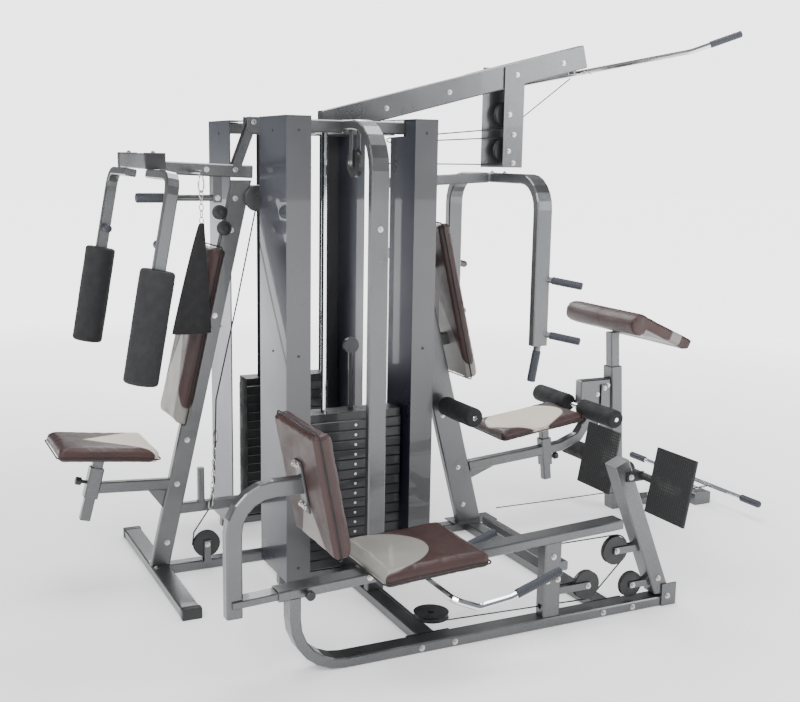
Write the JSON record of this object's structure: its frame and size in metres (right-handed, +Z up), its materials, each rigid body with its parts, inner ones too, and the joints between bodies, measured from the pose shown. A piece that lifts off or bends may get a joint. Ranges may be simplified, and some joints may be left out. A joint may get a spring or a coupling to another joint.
{
  "type": "multi station home gym",
  "caption": "Multi station home gym: weight tower with pec and press arms, lat pulldown with press arm, low row, leg developer and a leg press bench.",
  "frame": {"origin": "on the floor under the crossing of the floor spine and the arch line", "axes": "+X along the front rail towards the leg press lever, +Y to the back, +Z up"},
  "size_m": [3.5727, 2.208, 2.5167],
  "materials": {
    "frame_silver": "silver grey metallic powder coat",
    "cover_navy": "dark navy satin paint",
    "weight_black": "black enamel",
    "chrome": "polished",
    "upholstery": "maroon vinyl with light inserts",
    "foam_black": "closed cell foam",
    "rubber_tread": "ribbed tread",
    "plastic_black": "moulded",
    "strap_black": "woven webbing",
    "cable_black": "coated wire rope"
  },
  "bodies": {
    "machine": {"floor_frame": "frame_silver", "left_foot_bar": "frame_silver", "arch_tube": "frame_silver", "top_frame": "frame_silver", "left_post": "frame_silver", "front_frame": "frame_silver", "right_post": "frame_silver", "right_seat_frame": "frame_silver", "lat_beam": "frame_silver", "lat_post": "frame_silver", "cover_near_left": "cover_navy", "cover_near_right": "cover_navy", "cover_far_left": "cover_navy", "cover_far_right": "cover_navy", "front_guides": "chrome", "front_rest_plates": "weight_black", "rear_rest_plates": "weight_black", "left_back_pad": "upholstery", "right_back_pad": "upholstery", "front_seat_pad": "upholstery", "front_handle": "chrome", "rear_rollers": "foam_black", "knee_rollers": "foam_black", "cable_lat": "cable_black", "cable_leg_press": "cable_black", "cable_left": "cable_black", "cable_row": "cable_black"},
    "left_seat": {"left_seat_post": "frame_silver", "left_seat_pad": "upholstery"},
    "left_seat_pin": {"left_seat_knob": "plastic_black"},
    "press_frame": {"press_beam": "frame_silver"},
    "pec_near": {"pec_arm_near": "frame_silver", "pec_foam_near": "foam_black"},
    "pec_far": {"pec_arm_far": "frame_silver", "pec_foam_far": "foam_black"},
    "strap": {"ab_strap": "strap_black"},
    "front_backrest": {"back_support": "frame_silver", "front_back_pad": "upholstery"},
    "front_pin": {"front_knob": "plastic_black"},
    "lever": {"press_lever": "frame_silver"},
    "foot_rest": {"footplates": "rubber_tread"},
    "front_weights": {"front_lift_plates": "weight_black"},
    "rear_weights": {"rear_lift_plates": "weight_black"},
    "pulldown_bar": {"lat_bar": "chrome"},
    "lever_wheel": {"lever_pulley": "plastic_black"},
    "arch_wheel": {"arch_pulley": "plastic_black"},
    "lat_wheel_upper": {"lat_pulley_upper": "plastic_black"},
    "lat_wheel_lower": {"lat_pulley_lower": "plastic_black"},
    "left_low_wheel": {"left_low_pulley": "plastic_black"},
    "post_wheel": {"post_pulley": "plastic_black"},
    "floor_wheel": {"floor_pulley": "plastic_black"},
    "press_u_arm": {"u_arm": "frame_silver"},
    "developer": {"leg_developer": "frame_silver", "lower_rollers": "foam_black"},
    "right_seat": {"right_seat_post": "frame_silver", "right_seat_pad": "upholstery"},
    "right_seat_pin": {"right_seat_knob": "plastic_black"},
    "arm_curl": {"preacher_post": "frame_silver", "preacher_pad": "upholstery"},
    "low_row": {"row_bar": "chrome"}
  },
  "joints": [
    {"name": "left_seat_height", "type": "slide", "parent": "machine", "child": "left_seat", "axis": [0.2538, 0, 0.9673], "range_m": [0, 0.1]},
    {"name": "left_seat_pin_pull", "type": "slide", "parent": "machine", "child": "left_seat_pin", "axis": [-0.9673, 0, 0.2538], "range_m": [0, 0.015], "stiffness_N_per_m": 600, "springref_m": -0.004},
    {"name": "chest_press", "type": "hinge", "parent": "machine", "child": "press_frame", "pos_m": [-0.347, 0, 2.035], "axis": [0, 1, 0], "range_deg": [0, 35]},
    {"name": "pec_fly_near", "type": "hinge", "parent": "press_frame", "child": "pec_near", "pos_m": [-0.842, -0.225, 1.8102], "axis": [0, 0, -1], "range_deg": [0, 70]},
    {"name": "pec_fly_far", "type": "hinge", "parent": "press_frame", "child": "pec_far", "pos_m": [-0.842, 0.225, 1.8102], "axis": [0, 0, 1], "range_deg": [0, 70]},
    {"name": "strap_swing", "type": "hinge", "parent": "press_frame", "child": "strap", "pos_m": [-0.63, -0.18, 1.8075], "axis": [0, 1, 0], "range_deg": [-10, 12]},
    {"name": "backrest_slide", "type": "slide", "parent": "machine", "child": "front_backrest", "axis": [-0.9988, 0, -0.048], "range_m": [0, 0.08]},
    {"name": "front_pin_pull", "type": "slide", "parent": "machine", "child": "front_pin", "axis": [0, -1, 0], "range_m": [0, 0.015], "stiffness_N_per_m": 600, "springref_m": -0.004},
    {"name": "leg_press", "type": "hinge", "parent": "machine", "child": "lever", "pos_m": [1.12, -1.185, 0.025], "axis": [0, 1, 0], "range_deg": [0, 25]},
    {"name": "footplate_tilt", "type": "hinge", "parent": "lever", "child": "foot_rest", "pos_m": [0.883, -1.185, 0.6], "axis": [0, 1, 0], "range_deg": [-8, 8]},
    {"name": "front_stack_lift", "type": "slide", "parent": "machine", "child": "front_weights", "axis": [0, 0, 1], "range_m": [0, 0.42]},
    {"name": "rear_stack_lift", "type": "slide", "parent": "machine", "child": "rear_weights", "axis": [0, 0, 1], "range_m": [0, 0.75]},
    {"name": "lat_pulldown", "type": "slide", "parent": "machine", "child": "pulldown_bar", "axis": [0, 0, -1], "range_m": [0, 0.75]},
    {"name": "arch_pulley_spin", "type": "hinge", "parent": "machine", "child": "arch_wheel", "pos_m": [-0.02, -0.4, 1.865], "axis": [1, 0, 0], "continuous": true},
    {"name": "lat_pulley_upper_spin", "type": "hinge", "parent": "machine", "child": "lat_wheel_upper", "pos_m": [0.962, 0, 2.106], "axis": [0, 1, 0], "continuous": true},
    {"name": "lat_pulley_lower_spin", "type": "hinge", "parent": "machine", "child": "lat_wheel_lower", "pos_m": [0.962, 0, 1.93], "axis": [0, 1, 0], "continuous": true},
    {"name": "left_low_pulley_spin", "type": "hinge", "parent": "machine", "child": "left_low_wheel", "pos_m": [-0.588, -0.04, 0.129], "axis": [0, 1, 0], "continuous": true},
    {"name": "lever_pulley_spin", "type": "hinge", "parent": "lever", "child": "lever_wheel", "pos_m": [0.85, -1.185, 0.274], "axis": [0, 1, 0], "continuous": true},
    {"name": "post_pulley_spin", "type": "hinge", "parent": "machine", "child": "post_wheel", "pos_m": [0.71, -1.185, 0.143], "axis": [0, 1, 0], "continuous": true},
    {"name": "floor_pulley_spin", "type": "hinge", "parent": "machine", "child": "floor_wheel", "pos_m": [0.022, -1.109, 0.1], "axis": [0, 0, 1], "continuous": true},
    {"name": "u_arm_press", "type": "hinge", "parent": "machine", "child": "press_u_arm", "pos_m": [0.92, 0, 1.8], "axis": [0, -1, 0], "range_deg": [0, 45]},
    {"name": "leg_curl", "type": "hinge", "parent": "machine", "child": "developer", "pos_m": [1.613, 0, 0.688], "axis": [0, 1, 0], "range_deg": [0, 20]},
    {"name": "right_seat_height", "type": "slide", "parent": "machine", "child": "right_seat", "axis": [-0.1045, 0, 0.9945], "range_m": [0, 0.07]},
    {"name": "right_seat_pin_pull", "type": "slide", "parent": "machine", "child": "right_seat_pin", "axis": [0.9945, 0, 0.1045], "range_m": [0, 0.015], "stiffness_N_per_m": 600, "springref_m": -0.004},
    {"name": "arm_curl_height", "type": "slide", "parent": "machine", "child": "arm_curl", "axis": [-0.0654, 0, 0.9979], "range_m": [0, 0.12]},
    {"name": "row_pull", "type": "slide", "parent": "machine", "child": "low_row", "axis": [1, 0, 0], "range_m": [0, 0.6]}
  ],
  "couplings": [
    {"joint": "leg_press", "follows": "front_stack_lift", "rad_per_m": 1.0386},
    {"joint": "lat_pulldown", "follows": "rear_stack_lift", "ratio": 1}
  ]
}
